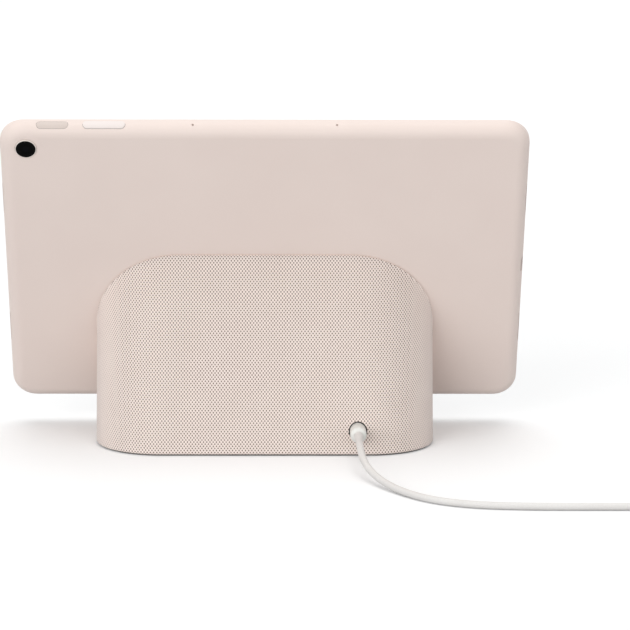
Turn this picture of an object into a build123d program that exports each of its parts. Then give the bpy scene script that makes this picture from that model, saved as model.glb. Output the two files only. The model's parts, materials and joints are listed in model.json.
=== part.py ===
from build123d import *
import math
import os

# Smart display: a tablet leaning on a charging speaker dock, with its lead and wall adapter.
# Millimetres, +Z up, origin at the centre of the dock's footprint on the surface it stands on.
# The display faces -Y, and +X is to the right of someone who looks at the display.

# Dock body
dock_width = 169.0
dock_depth = 71.9
dock_height = 95.5
chin_height = 17.7           # where the leaning face meets the upright chin
lean_angle = 27.3            # face and tablet, measured from vertical
base_corner = 33.0
face_top_corner = 42.0
face_low_corner = 30.0
skin = 1.2                   # fabric with its backing
skin_fold = 2.4              # fabric turned onto the face, measured at the sides
rim_radius = 0.5             # where the fabric turns over the edge of the face
shell_wall = 2.2
face_plate = 1.8
foot_thickness = 0.8
foot_inset = 1.6
base_plate_thickness = 2.5
fit_gap = 0.15               # between housings that are assembled with play

# Tablet body
tablet_width = 258.0
tablet_height = 169.0
tablet_thickness = 8.1
tablet_corner = 12.0
back_edge_radius = 6.0
tablet_drop = 5.6            # lower edge of the tablet, below the chin's edge along the face
seat_gap = 0.3               # from the dock's face to the tablet's back
back_wall = 1.0
side_wall = 1.8
rim_lip = 0.9
glass_thickness = 0.9
glass_proud = 0.15
glass_gap = 0.08
bezel_side = 8.75
bezel_top = 8.5
panel_thickness = 1.6
mid_frame_thickness = 0.6
mid_frame_gap = 0.4

# Side keys, on the upper edge, measured from the tablet's +X side
key_depth = 3.9
key_middle = 4.1             # from the back plane
key_wall = 2.0
key_gap = 0.12
power_from_side = 25.9
power_length = 15.3
power_travel = 0.3
volume_from_side = 50.95
volume_length = 20.5
volume_proud = 0.3
volume_tilt = 1.2
key_stem = 1.5
switch_depth = 1.6

# Openings on the sides
side_middle = 4.1            # height of ports and slots above the back plane
speaker_slot_length = 17.8
speaker_slot_width = 1.5
speaker_slot_y = 40.0
port_width = 8.94
port_height = 3.26
port_wall = 0.3
port_depth = 7.3
port_inset = 1.3             # mouth of the port, in from the tablet's side
port_board_width = 16.0
port_board_height = 28.0
microphone_x = 35.0
microphone_hole = 1.2
microphone_middle = 4.0       # from the back plane

# Cameras, measured from the +X side and the upper edge
camera_from_side = 12.9
camera_from_top = 11.9
camera_ring_diameter = 10.6
camera_lens_diameter = 9.6
camera_proud = 0.5
camera_body = 11.0
front_camera_from_top = 4.5
front_camera_body = 4.4
front_lens_diameter = 2.6

# Inside the tablet
cell_thickness = 3.5
cell_from_middle = 18.0
cell_from_side = 37.0
cell_from_low = 24.5
cell_from_top = 58.5
board_thickness = 0.9
board_lift = 1.2
board_from_side = 29.0
board_height = 32.0
board_from_top = 24.5
# (x as a share of half the board, width, height) of each shield can
shield_can_plans = ((-0.6, 40.0, 24.0), (-0.1, 34.0, 22.0), (0.42, 28.0, 24.0))
shield_height = 1.6
boss_diameter = 4.4
boss_from_side = 29.0
boss_from_low = 14.5
boss_from_top = 50.5
driver_box_length = 24.0
driver_box_width = 14.0

# Contacts and magnets, measured up from the tablet's lower edge
contact_rise = 60.0
contact_pitch = 7.0
contact_count = 4
pad_diameter = 4.4
carrier_length = 34.0
carrier_width = 9.0
magnet_thickness = 1.8
# (x, rise, length, width) of each holding magnet
magnets = ((0.0, 74.5, 28.0, 8.0), (0.0, 44.5, 28.0, 8.0), (45.0, 14.5, 36.0, 9.0), (-45.0, 14.5, 36.0, 9.0))

# Spring contacts
pin_diameter = 1.6
pin_bore = 1.7
pin_flange = 2.3
pin_flange_thickness = 0.6
pin_chamber = 2.4
pin_neck = 1.5
pin_travel = 0.8
pin_tip_gap = 0.06
pogo_depth = 7.5
pogo_flange = 1.5
pogo_flange_margin = 2.0

# Loudspeaker of the dock
driver_diameter = 47.0
driver_z = 40.0
gasket_thickness = 0.8
basket_flange = 1.5
basket_wall = 1.0
basket_depth = 7.0
surround_outer = 40.0
surround_inner = 31.6
surround_thickness = 0.5
cone_edge = 31.0
cone_depth = 5.4
cone_wall = 0.5
cone_travel = 1.0
coil_diameter = 12.6
coil_wall = 0.35
coil_length = 4.6
coil_gap = 0.4
top_plate_thickness = 2.0
magnet_ring_diameter = 28.0
magnet_ring_height = 5.0
yoke_thickness = 2.0
enclosure_width = 62.0
enclosure_height = 48.0
enclosure_depth = 20.0
enclosure_wall = 1.8
grille_radius = 19.0
grille_slot = 3.2
grille_pitch = 5.6

# Base of the dock
ballast_width = 84.0
ballast_depth = 46.0
ballast_height = 6.0
ballast_x = 14.0
base_boss_x = 68.0
base_boss_y = 12.0
base_boss_diameter = 7.0
base_boss_height = 11.0
base_screw_diameter = 3.0
base_screw_head = 5.6

# Power inlet
jack_from_side = 38.5        # from the dock's -X side
jack_z = 11.8
jack_hole = 9.2
jack_body = 9.6
jack_length = 13.0
jack_nose = 8.4
jack_bore = 5.6
jack_bore_depth = 9.8
jack_pin = 2.0
jack_nose_inset = 2.2        # nose face, in from the fabric along the plug's axis
dock_board_width = 27.0
dock_board_depth = 45.0
dock_board_thickness = 1.6
dock_board_lift = 2.0
capacitor_diameter = 8.0
capacitor_height = 9.0
choke_width = 8.0
choke_height = 4.0
amplifier_width = 7.0
amplifier_height = 1.2

# Lead and adapter
plug_diameter = 8.3
plug_length = 12.3
plug_round = 1.4
plug_gap = 0.2
barrel_diameter = 5.5
barrel_bore = 2.6
barrel_length = 9.3
boot_length = 12.0
boot_diameter = 5.2
boot_end_diameter = 4.2
cord_diameter = 3.5
coil_rows = 3                # turns side by side, and as many on each other
coil_inner_turn = 17.5       # radius of the innermost turn's centreline
coil_turn = 333.0            # degrees of each turn before the cord steps to the next
coil_x = -204.0
cord_row_y = 144.5           # where the cord runs straight across into the coil
adapter_width = 57.0
adapter_depth = 52.0
adapter_height = 28.0
adapter_round = 5.0
gland_length = 11.0
gland_diameter = 7.0
prong_length = 17.0
prong_width = 6.3
prong_thickness = 1.5
prong_pitch = 12.7

# Worked out from the sizes above
lean = math.radians(lean_angle)
face_length = (dock_height - chin_height) / math.cos(lean)
apex_y = -dock_depth / 2 + (dock_height - chin_height) * math.tan(lean)
rear_lean = math.atan2(dock_depth / 2 - apex_y, dock_height - foot_thickness)
glass_seat = tablet_thickness - glass_thickness
rim_height = tablet_thickness - glass_proud
panel_low = glass_seat - panel_thickness
mid_frame_low = panel_low - mid_frame_thickness
base_top = foot_thickness + base_plate_thickness
jack_x = jack_from_side - dock_width / 2
panel_width = tablet_width - 2 * bezel_side
panel_height = tablet_height - 2 * bezel_top
power_x = tablet_width / 2 - power_from_side
volume_x = tablet_width / 2 - volume_from_side
camera_x = tablet_width / 2 - camera_from_side
camera_y = tablet_height / 2 - camera_from_top
front_camera_y = tablet_height / 2 - front_camera_from_top
cell_width = tablet_width / 2 - cell_from_middle - cell_from_side
cell_height = tablet_height - cell_from_low - cell_from_top
cell_x = cell_from_middle + cell_width / 2
cell_y = (cell_from_low - cell_from_top) / 2
board_width = tablet_width - 2 * board_from_side
board_y = tablet_height / 2 - board_from_top
boss_x = tablet_width / 2 - boss_from_side
boss_rows = (boss_from_low - tablet_height / 2, tablet_height / 2 - boss_from_top)
contact_y = contact_rise - tablet_height / 2
coil_outer_turn = coil_inner_turn + (coil_rows - 1) * cord_diameter
coil_height = coil_rows * cord_diameter

# Face of the dock: x across, y up the face, z out of it. The tablet's frame has its origin at
# the centre of the tablet's back.
face_plane = Plane(origin=(0, -dock_depth / 2, chin_height), x_dir=(1, 0, 0),
                   z_dir=(0, -math.cos(lean), math.sin(lean)))
face = face_plane.location
tablet_middle = tablet_height / 2 - tablet_drop
tablet = face * Pos(0, tablet_middle, seat_gap)


def rear_y(z, inset):
    # The dock's leaning rear face, at a height and a depth below the fabric.
    return dock_depth / 2 - (z - foot_thickness) * math.tan(rear_lean) - inset / math.cos(rear_lean)


def slab(width, height, corner, low, high, x=0, y=0):
    return Pos(x, y, low) * extrude(RectangleRounded(width, height, corner), high - low)


def block(width, height, low, high, x=0, y=0):
    return Pos(x, y, low) * extrude(Rectangle(width, height), high - low)


def disc(diameter, low, high, x=0, y=0):
    return Pos(x, y, low) * extrude(Circle(diameter / 2), high - low)


def slot(length, width, low, high, x=0, y=0):
    return Pos(x, y, low) * extrude(SlotOverall(length, width), high - low)


def write(name, shape, place=None):
    solids = shape if isinstance(shape, (list, tuple)) else [shape]
    if place is not None:
        solids = [place * solid for solid in solids]
    whole = solids[0] if len(solids) == 1 else Compound(children=solids)
    export_step(whole, f"parts/{name}.step")


# Dock housings

def corner_loop(half, low, high, low_corner, high_corner, place):
    # Closed outline with one pair of corner radii below and one above.
    points = [(-half + low_corner, low), (half - low_corner, low), (half, low + low_corner),
              (half, high - high_corner), (half - high_corner, high), (-half + high_corner, high),
              (-half, high - high_corner), (-half, low + low_corner)]
    radii = [0, low_corner, 0, high_corner, 0, high_corner, 0, low_corner]
    sides = []
    for index, radius in enumerate(radii):
        start, end = points[index], points[(index + 1) % 8]
        side = RadiusArc(start, end, -radius) if radius else Line(start, end)
        sides.append(side.edge())
    return Wire(sides).moved(place)


def wedge(inset):
    # The dock's form, in from the fabric's outside: ruled from the footprint up to the leaning face.
    half = dock_width / 2 - inset
    footprint = corner_loop(half, -dock_depth / 2 + inset, rear_y(foot_thickness, inset),
                            base_corner - inset, base_corner - inset, Pos(0, 0, foot_thickness))
    leaning = corner_loop(half, inset / math.sin(lean), face_length - inset / math.sin(lean + rear_lean),
                          face_low_corner - inset, face_top_corner - inset, face)
    return Solid.make_loft([footprint, leaning], ruled=True)


def face_slab(low, high):
    # Everything between two depths of the face.
    return face * block(2 * dock_width, 4 * dock_height, low, high)


def dock_driver_place():
    # On the inside of the shell's rear wall, z out to the rear.
    inset = skin + shell_wall
    return Plane(origin=(0, rear_y(driver_z, inset), driver_z), x_dir=(1, 0, 0),
                 z_dir=(0, math.cos(rear_lean), math.sin(rear_lean))).location


def jack_axis(length, diameter, start):
    # A cylinder about the inlet's axis, from a distance along +Y.
    return Pos(jack_x, start, jack_z) * Rot(-90, 0, 0) * extrude(Circle(diameter / 2), length)


def dock_fabric():
    outer = wedge(0)
    rim = [edge for edge in outer.edges() if abs(face_plane.to_local_coords(edge.position_at(0.5)).Z) < 1e-3]
    outer = outer.fillet(rim_radius, rim)
    window = corner_loop(dock_width / 2 - skin_fold, skin_fold / math.sin(lean),
                         face_length - skin_fold / math.sin(lean + rear_lean),
                         face_low_corner - skin_fold, face_top_corner - skin_fold, face * Pos(0, 0, -skin))
    opening = extrude(Face(window), skin * 2, dir=face_plane.z_dir)
    cloth = outer - (wedge(skin) - face_slab(-skin, skin)) - opening
    return cloth - jack_axis(dock_depth, jack_hole, 0)


def dock_shell():
    inset = skin + shell_wall
    rim = -skin - face_plate
    shell = wedge(skin) - wedge(inset) - face_slab(rim, dock_depth)
    bosses = []
    for x in (-base_boss_x, base_boss_x):
        for y in (-base_boss_y, base_boss_y):
            top = base_top + base_boss_height
            side = 1 if y > 0 else -1
            post = disc(base_boss_diameter, base_top, top, x, y)
            rib = block(shell_wall, dock_depth / 2, base_top, top, x, y + side * dock_depth / 4)
            bosses.append(post + rib)
    inside = wedge(skin + shell_wall / 2) - face_slab(rim, dock_depth)
    for boss in bosses:
        shell += boss & inside
    for x in (-base_boss_x, base_boss_x):
        for y in (-base_boss_y, base_boss_y):
            shell -= disc(base_screw_diameter, base_top, base_top + base_boss_height - 2, x, y)
    count = int(grille_radius // grille_pitch)
    for step in range(-count, count + 1):
        x = step * grille_pitch
        length = 2 * math.sqrt(grille_radius ** 2 - x ** 2)
        cut = Pos(x, 0, 0) * Rot(0, 0, 90) * slot(length, grille_slot, -1, shell_wall + 0.5)
        shell -= dock_driver_place() * cut
    return shell - jack_axis(dock_depth, jack_hole, 0)


def dock_front_plate():
    flange = wedge(skin) & face_slab(-skin - face_plate, -skin)
    edge = skin_fold + fit_gap
    window = corner_loop(dock_width / 2 - edge, edge / math.sin(lean),
                         face_length - edge / math.sin(lean + rear_lean),
                         face_low_corner - edge, face_top_corner - edge, face * Pos(0, 0, -skin))
    raised = extrude(Face(window), skin, dir=face_plane.z_dir)
    contact_window = slot(carrier_length + 2 * fit_gap, carrier_width + 2 * fit_gap, -dock_depth, skin,
                          0, tablet_middle + contact_y)
    return flange + raised - face * contact_window


def base_plate():
    plate = wedge(skin + shell_wall + fit_gap)
    plate &= block(2 * dock_width, 2 * dock_depth, foot_thickness, base_top)
    for x, y in board_corners():
        plate += disc(base_boss_diameter * 0.7, base_top, base_top + dock_board_lift, x, y)
    for x in (-base_boss_x, base_boss_x):
        for y in (-base_boss_y, base_boss_y):
            plate -= screw(x, y, fit_gap)
    return plate


def screw(x, y, gap):
    # Countersunk screw, driven up from under the base plate.
    shank = disc(base_screw_diameter - 2 * fit_gap + 2 * gap, foot_thickness, base_top + base_boss_height - 3, x, y)
    head = Pos(x, y, foot_thickness + base_plate_thickness * 0.35) * Cone(
        base_screw_head / 2 + gap, base_screw_diameter / 2, base_plate_thickness * 0.7)
    return shank + head


def rubber_foot():
    mat = corner_loop(dock_width / 2 - foot_inset, -dock_depth / 2 + foot_inset,
                      dock_depth / 2 - foot_inset, base_corner - foot_inset, base_corner - foot_inset, Pos(0, 0, 0))
    return extrude(Face(mat), foot_thickness, dir=(0, 0, 1))


def write_dock_body():
    write("dock_fabric", dock_fabric())
    write("dock_shell", dock_shell())
    write("dock_front_plate", dock_front_plate())
    write("base_plate", base_plate())
    write("rubber_foot", rubber_foot())
    ballast = slab(ballast_width, ballast_depth, 4, base_top, base_top + ballast_height, ballast_x, 0)
    write("ballast_weight", ballast)
    screws = [screw(x, y, 0) for x in (-base_boss_x, base_boss_x) for y in (-base_boss_y, base_boss_y)]
    write("base_screws", screws)
    bars = [slab(length, width, 1, -skin - face_plate - magnet_thickness, -skin - face_plate,
                 x, rise - tablet_drop) for x, rise, length, width in magnets]
    write("dock_magnets", bars, face)


# Spring contacts of the dock

def contact_places():
    middle = (contact_count - 1) / 2
    return [(index - middle) * contact_pitch for index in range(contact_count)]


def write_contacts():
    row = tablet_middle + contact_y
    back = -skin - face_plate
    holder = slot(carrier_length, carrier_width, -pogo_depth, 0, 0, row)
    holder += slot(carrier_length + 2 * pogo_flange_margin, carrier_width + 2 * pogo_flange_margin,
                   back - pogo_flange, back, 0, row)
    for x in contact_places():
        holder -= disc(pin_bore, -pin_neck, 1, x, row)
        holder -= disc(pin_chamber, -pogo_depth + 1, -pin_neck, x, row)
    write("pogo_block", holder, face)
    tip = seat_gap - pin_tip_gap
    for number, x in enumerate(contact_places(), 1):
        pin = disc(pin_diameter, -pogo_depth / 2, tip, x, row)
        pin = fillet(pin.edges().group_by(Axis.Z)[-1], pin_diameter * 0.45)
        pin += disc(pin_flange, -pin_neck - pin_flange_thickness, -pin_neck, x, row)
        write(f"pogo_pin_{number}", pin, face)


# Loudspeaker of the dock, about its own axis

def ring(outer, inner, low, high):
    return disc(outer, low, high) - disc(inner, low - 1, high + 1)


def turned(points):
    # A solid of revolution about Z from radius and height pairs.
    outline = make_face(Polyline([(radius, 0, height) for radius, height in points], close=True))
    return revolve(outline, Axis.Z)


def write_loudspeaker():
    place = dock_driver_place()
    seat = -gasket_thickness
    flange_low = seat - basket_flange
    magnet_high = flange_low - basket_depth
    write("speaker_gasket", ring(driver_diameter, surround_outer + 1, seat, 0), place)

    skirt_top = surround_outer / 2
    skirt_low = magnet_ring_diameter / 2 - basket_wall
    basket = turned([(driver_diameter / 2, seat), (skirt_top, seat), (skirt_top, flange_low),
                     (skirt_low, magnet_high), (coil_diameter / 2 + coil_gap, magnet_high),
                     (coil_diameter / 2 + coil_gap, magnet_high - basket_wall),
                     (skirt_low + basket_wall, magnet_high - basket_wall),
                     (skirt_top + basket_wall, flange_low), (driver_diameter / 2, flange_low)])
    for turn in range(6):
        window = Rot(0, 0, turn * 60) * block(surround_outer, 8, magnet_high + 2, flange_low - 1, surround_outer / 2)
        basket -= window
    write("speaker_basket", basket, place)

    plate_high = magnet_high - basket_wall
    plate_low = plate_high - top_plate_thickness
    ring_low = plate_low - magnet_ring_height
    coil_bore = coil_diameter + 2 * coil_gap
    pole = coil_diameter - 2 * coil_wall - 2 * coil_gap
    write("speaker_top_plate", ring(magnet_ring_diameter - 2, coil_bore, plate_low, plate_high), place)
    write("speaker_magnet", ring(magnet_ring_diameter, coil_bore + 3, ring_low, plate_low), place)
    yoke = disc(magnet_ring_diameter - 2, ring_low - yoke_thickness, ring_low)
    yoke += disc(pole, ring_low, plate_high)
    write("speaker_yoke", yoke, place)

    edge_high = flange_low
    neck = edge_high - cone_depth
    coil_low = neck - coil_length
    outer, inner = coil_diameter / 2, coil_diameter / 2 - coil_wall
    cone = turned([(cone_edge / 2, edge_high), (cone_edge / 2 - cone_wall, edge_high), (outer, neck + cone_wall),
                   (inner * 0.6, neck + 2), (0, neck + 2.6), (0, neck + 2.1), (inner * 0.6, neck + 1.5),
                   (inner, neck), (inner, coil_low), (outer, coil_low), (outer, neck - cone_wall)])
    write("speaker_cone", cone, place)

    middle = (surround_outer + surround_inner) / 4
    reach = (surround_outer - surround_inner) / 4
    roll = Pos(middle, 0, flange_low) * Rot(90, 0, 0) * (
        Circle(reach) - Circle(reach - surround_thickness) - Pos(0, -reach) * Rectangle(4 * reach, 2 * reach))
    write("speaker_surround", revolve(roll, Axis.Z), place)

    back = flange_low - enclosure_depth
    box = slab(enclosure_width, enclosure_height, 6, back, flange_low)
    room = slab(enclosure_width - 2 * enclosure_wall, enclosure_height - 2 * enclosure_wall, 6 - enclosure_wall,
                back + enclosure_wall, flange_low - enclosure_wall)
    mouth = disc(surround_outer + 2 * basket_wall + 1, flange_low - enclosure_wall - 1, flange_low + 1)
    write("speaker_enclosure", box - room - mouth, place)


# Power inlet and board of the dock

def board_place():
    rear = rear_y(jack_z + jack_body / 2, skin + shell_wall) - 0.9
    return jack_x, rear - dock_board_depth / 2, base_top + dock_board_lift


def board_corners():
    x, y, _ = board_place()
    half_x, half_y = dock_board_width / 2 - 3, dock_board_depth / 2 - 3
    return [(x + i * half_x, y + j * half_y) for i in (-1, 1) for j in (-1, 1)]


def write_inlet():
    x, y, z = board_place()
    top = z + dock_board_thickness
    offset = dock_board_width / 4.5
    can = disc(capacitor_diameter, top, top + capacitor_height, x - offset, y - offset)
    choke = slab(choke_width, choke_width, choke_width / 5, top, top + choke_height, x + offset, y - offset)
    amplifier = block(amplifier_width, amplifier_width, top, top + amplifier_height,
                      x + offset, y - offset - choke_width - 2)
    write("dock_board", slab(dock_board_width, dock_board_depth, 2, z, top, x, y) + can + choke + amplifier)
    rear = y + dock_board_depth / 2
    nose = rear_y(jack_z, 0) - jack_nose_inset
    body = block(jack_body, jack_length, top, jack_z + jack_body / 2, x, rear - jack_length / 2)
    body += jack_axis(nose - rear, jack_nose, rear)
    body -= jack_axis(jack_bore_depth, jack_bore, nose - jack_bore_depth)
    body -= jack_axis(jack_bore_depth + 2, jack_pin, nose - jack_bore_depth - 2)
    write("dc_jack", body)
    pin = jack_axis(jack_bore_depth + 1, jack_pin, nose - jack_bore_depth - 2)
    write("dc_jack_pin", pin)
    return nose


# Tablet, in the tablet's own frame

def tablet_form(grow):
    form = slab(tablet_width + 2 * grow, tablet_height + 2 * grow, tablet_corner + grow, -grow, rim_height)
    return fillet(form.edges().group_by(Axis.Z)[0], back_edge_radius + grow)


def top_cut(length, width, reach, x, z, grow=0.0):
    # A slot through the upper edge: length across, width through the tablet, reach inward.
    high = tablet_height / 2 + 5
    cut = extrude(SlotOverall(length + 2 * grow, width + 2 * grow), high - reach)
    return Pos(x, high, z) * Rot(90, 0, 0) * cut


def side_cut(side, length, width, reach, y, grow=0.0):
    # A slot through one side, side being -1 or 1: length up the tablet.
    outside = tablet_width / 2 + 5
    cut = extrude(SlotOverall(length + 2 * grow, width + 2 * grow), outside - reach)
    turned_in = Pos(outside, y, side_middle) * Rot(0, -90, 0) * Rot(0, 0, 90) * cut
    return turned_in if side > 0 else mirror(turned_in, Plane.YZ)


def tablet_housing():
    housing = tablet_form(0)
    cavity_round = back_edge_radius - (side_wall + back_wall) / 2
    cavity = slab(tablet_width - 2 * side_wall, tablet_height - 2 * side_wall, tablet_corner - side_wall,
                  back_wall, glass_seat)
    cavity = fillet(cavity.edges().group_by(Axis.Z)[0], cavity_round)
    recess = slab(tablet_width - 2 * rim_lip, tablet_height - 2 * rim_lip, tablet_corner - rim_lip,
                  glass_seat, tablet_thickness + 1)
    housing = housing - cavity - recess
    for x in (-boss_x, 0, boss_x):
        for y in boss_rows:
            housing += disc(boss_diameter, back_wall / 2, mid_frame_low, x, y)
            housing -= disc(boss_diameter * 0.4, back_wall + 0.6, mid_frame_low + 1, x, y)
    for x in (-board_width / 2 + 4, board_width / 2 - 4):
        for y in (board_y - board_height / 2 + 4, board_y + board_height / 2 - 4):
            housing += disc(boss_diameter, back_wall / 2, back_wall + board_lift, x, y)
    inside = tablet_height / 2 - side_wall
    housing -= top_cut(power_length, key_depth, inside - 4, power_x, key_middle, key_gap)
    housing -= top_cut(volume_length, key_depth, inside - 4, volume_x, key_middle, key_gap)
    for x in (-microphone_x, microphone_x):
        housing -= top_cut(microphone_hole * 1.001, microphone_hole, inside - 1.5, x, microphone_middle)
    wall = tablet_width / 2 - side_wall
    for side in (-1, 1):
        for y in (-speaker_slot_y, speaker_slot_y):
            housing -= side_cut(side, speaker_slot_length, speaker_slot_width, wall - 1.2, y)
    housing -= side_cut(-1, port_width, port_height, wall - 3, 0, key_gap)
    housing -= disc(camera_ring_diameter + 2 * key_gap, -1, back_wall + 1, camera_x, camera_y)
    housing -= slot(carrier_length + 2 * key_gap, carrier_width + 2 * key_gap, -1, back_wall + 1, 0, contact_y)
    return housing


def key(x, length, grow):
    # A key follows the curve of the housing's edge and carries a stem for its switch.
    inner = tablet_height / 2 - key_wall
    cap = top_cut(length, key_depth, inner, x, key_middle) & tablet_form(grow)
    return cap


def stem(x):
    high = tablet_height / 2 - key_wall
    return block(3, key_stem, key_middle - key_depth / 2 + 0.3, mid_frame_low - 0.4, x, high - key_stem / 2)


def write_keys():
    write("power_button", key(power_x, power_length, 0) + stem(power_x), tablet)
    spread = volume_length * 0.3
    rocker = key(volume_x, volume_length, volume_proud)
    rocker += stem(volume_x - spread) + stem(volume_x + spread)
    write("volume_rocker", rocker, tablet)
    high = tablet_height / 2 - key_wall - key_stem - power_travel - 0.1
    low_z, high_z = key_middle - key_depth / 2 + 0.3, mid_frame_low - 0.4
    switches = [block(3.4, switch_depth, low_z, high_z, x, high - switch_depth / 2)
                for x in (power_x, volume_x - spread, volume_x + spread)]
    strip_length = power_x - volume_x + power_length + 14
    strip = block(strip_length, 0.5, low_z - 1, high_z, (power_x + volume_x) / 2, high - switch_depth - 0.25)
    write("key_switches", strip + switches, tablet)


def port_room():
    # Space for the port's shell in what lies over it.
    return side_cut(-1, port_width, port_height, tablet_width / 2 - port_inset - port_depth - fit_gap, 0, fit_gap)


def key_room():
    # Space behind the caps of the keys, for their travel.
    reach = tablet_height / 2 - key_wall - power_travel - key_gap
    return [top_cut(length, key_depth, reach, x, key_middle, 2 * key_gap)
            for x, length in ((power_x, power_length), (volume_x, volume_length))]


def write_display():
    gap = rim_lip + glass_gap
    glass = slab(tablet_width - 2 * gap, tablet_height - 2 * gap, tablet_corner - gap, glass_seat, tablet_thickness)
    glass = chamfer(glass.edges().group_by(Axis.Z)[-1], 0.2)
    write("display_glass", glass, tablet)
    panel = block(panel_width, panel_height, panel_low, glass_seat)
    write("lcd_panel", panel, tablet)
    edge = side_wall + fit_gap
    bezel = slab(tablet_width - 2 * edge, tablet_height - 2 * edge, tablet_corner - edge, panel_low, glass_seat)
    bezel -= block(panel_width + 2 * fit_gap, panel_height + 2 * fit_gap, panel_low - 1, glass_seat + 1)
    bezel -= disc(front_lens_diameter + 0.4, panel_low - 1, glass_seat + 1, 0, front_camera_y)
    bezel = bezel - port_room() - key_room()
    write("bezel_frame", bezel, tablet)
    edge = side_wall + mid_frame_gap
    frame = slab(tablet_width - 2 * edge, tablet_height - 2 * edge, tablet_corner - edge, mid_frame_low, panel_low)
    frame -= block(front_camera_body + 0.8, front_camera_body + 0.8, 0, tablet_thickness, 0, front_camera_y)
    frame -= block(camera_body + 1, camera_body + 1, 0, tablet_thickness, camera_x, camera_y)
    frame = frame - port_room() - key_room()
    heads = []
    for x in (-boss_x, 0, boss_x):
        for y in boss_rows:
            hole = Pos(x, y, mid_frame_low + mid_frame_thickness / 2)
            frame -= hole * Cone(boss_diameter * 0.2 + 0.05, boss_diameter * 0.4 + 0.05, mid_frame_thickness)
            head = hole * Cone(boss_diameter * 0.2, boss_diameter * 0.4, mid_frame_thickness)
            heads.append(head + disc(boss_diameter * 0.38, mid_frame_low - 2, mid_frame_low, x, y))
    write("mid_frame", frame, tablet)
    write("frame_screws", heads, tablet)


def write_cameras():
    seat = back_wall + 0.3
    outer = disc(camera_ring_diameter, -camera_proud, seat, camera_x, camera_y)
    outer = fillet(outer.edges().group_by(Axis.Z)[0], 0.35)
    trim = outer - disc(camera_lens_diameter + 0.1, -1, tablet_thickness, camera_x, camera_y)
    write("rear_camera_ring", trim, tablet)
    lens = disc(camera_lens_diameter, -camera_proud + 0.15, seat, camera_x, camera_y)
    write("rear_camera_lens", lens, tablet)
    body = block(camera_body, camera_body, seat, panel_low - 0.3, camera_x, camera_y)
    write("rear_camera_module", body, tablet)
    front = block(front_camera_body, front_camera_body, mid_frame_low - 1.2, panel_low - 0.1, 0, front_camera_y)
    front += disc(front_lens_diameter, panel_low - 0.2, glass_seat, 0, front_camera_y)
    write("front_camera", front, tablet)


def write_tablet_inside():
    for side, name in ((-1, "battery_cell_left"), (1, "battery_cell_right")):
        cell = slab(cell_width, cell_height, 3, back_wall, back_wall + cell_thickness, side * cell_x, cell_y)
        write(name, cell, tablet)
    low = back_wall + board_lift
    board = slab(board_width, board_height, 2, low, low + board_thickness, 0, board_y)
    write("main_board", board, tablet)
    top = low + board_thickness
    cans = [slab(width, height, shield_height, top, top + shield_height, share * board_width / 2, board_y)
            for share, width, height in shield_can_plans]
    write("shield_cans", cans, tablet)
    number = 0
    for side in (-1, 1):
        for y in (speaker_slot_y, -speaker_slot_y):
            number += 1
            write(f"tablet_speaker_{number}", tablet_speaker(side, y), tablet)
    write_port()
    mics = [block(3.6, 1.2, microphone_middle - 1.2, mid_frame_low - 0.2, x, tablet_height / 2 - side_wall - 1.9)
            for x in (-microphone_x, microphone_x)]
    write("microphones", mics, tablet)
    carrier = slot(carrier_length, carrier_width, 0, back_wall + 0.8, 0, contact_y)
    pads = []
    for x in contact_places():
        carrier -= disc(pad_diameter, -1, 0.8, x, contact_y)
        pads.append(disc(pad_diameter, 0, 0.8, x, contact_y))
    write("contact_carrier", carrier, tablet)
    write("contact_pads", pads, tablet)
    bars = [slab(length, width, 1, back_wall, back_wall + magnet_thickness, x, rise - tablet_height / 2)
            for x, rise, length, width in magnets]
    write("tablet_magnets", bars, tablet)


def tablet_speaker(side, y):
    # A flat driver box with a mouth that reaches the slot in the housing's side.
    outer = tablet_width / 2 - back_edge_radius - 1.2
    x = side * (outer - driver_box_width / 2)
    box = slab(driver_box_width, driver_box_length, 2, back_wall, mid_frame_low - 0.3, x, y)
    mouth_end = tablet_width / 2 - side_wall - 0.9
    mouth_width = mouth_end - outer + 1
    mouth = block(mouth_width, speaker_slot_length + 2, side_middle - 0.9, mid_frame_low - 0.3,
                  side * (mouth_end - mouth_width / 2), y)
    return box + mouth


def write_port():
    mouth = tablet_width / 2 - port_inset
    shell = side_cut(-1, port_width, port_height, mouth - port_depth, 0)
    shell &= block(port_depth, tablet_height, 0, tablet_thickness, -mouth + port_depth / 2, 0)
    room = side_cut(-1, port_width, port_height, mouth - port_depth + 1, 0, -port_wall)
    tongue = block(port_depth - 2.4, port_width * 0.72, side_middle - 0.35, side_middle + 0.35,
                   -mouth + port_depth / 2 + 0.7, 0)
    write("usb_c_port", shell - room + tongue, tablet)
    top = side_middle - port_height / 2
    board = slab(port_board_width, port_board_height, 1, top - 0.8, top, port_board_width / 2 - mouth + port_depth - 1.3, 0)
    write("port_board", board, tablet)


# Lead: plug, cord, coil of the spare length, and wall adapter

def tube(points):
    # Straight runs joined by tangent arcs, each as large as its two runs allow.
    corners = [Vector(*point) for point in points]
    radii = []
    for before, corner, after in zip(corners, corners[1:], corners[2:]):
        first, second = corner - before, after - corner
        half_turn = math.radians(first.get_angle(second)) / 2
        radii.append(0.45 * min(first.length, second.length) / math.tan(half_turn))
    path = FilletPolyline(*corners, radius=radii) if len(radii) > 1 else FilletPolyline(*corners, radius=radii[0])
    start = Plane(origin=path @ 0, z_dir=path % 0)
    cord = sweep(start * Circle(cord_diameter / 2), path=path)
    print("cord radii", [round(radius, 1) for radius in radii], "length", round(path.length, 1),
          "volume over section times length", round(cord.volume / (math.pi * cord_diameter ** 2 / 4 * path.length), 4))
    return cord, path.length


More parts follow.
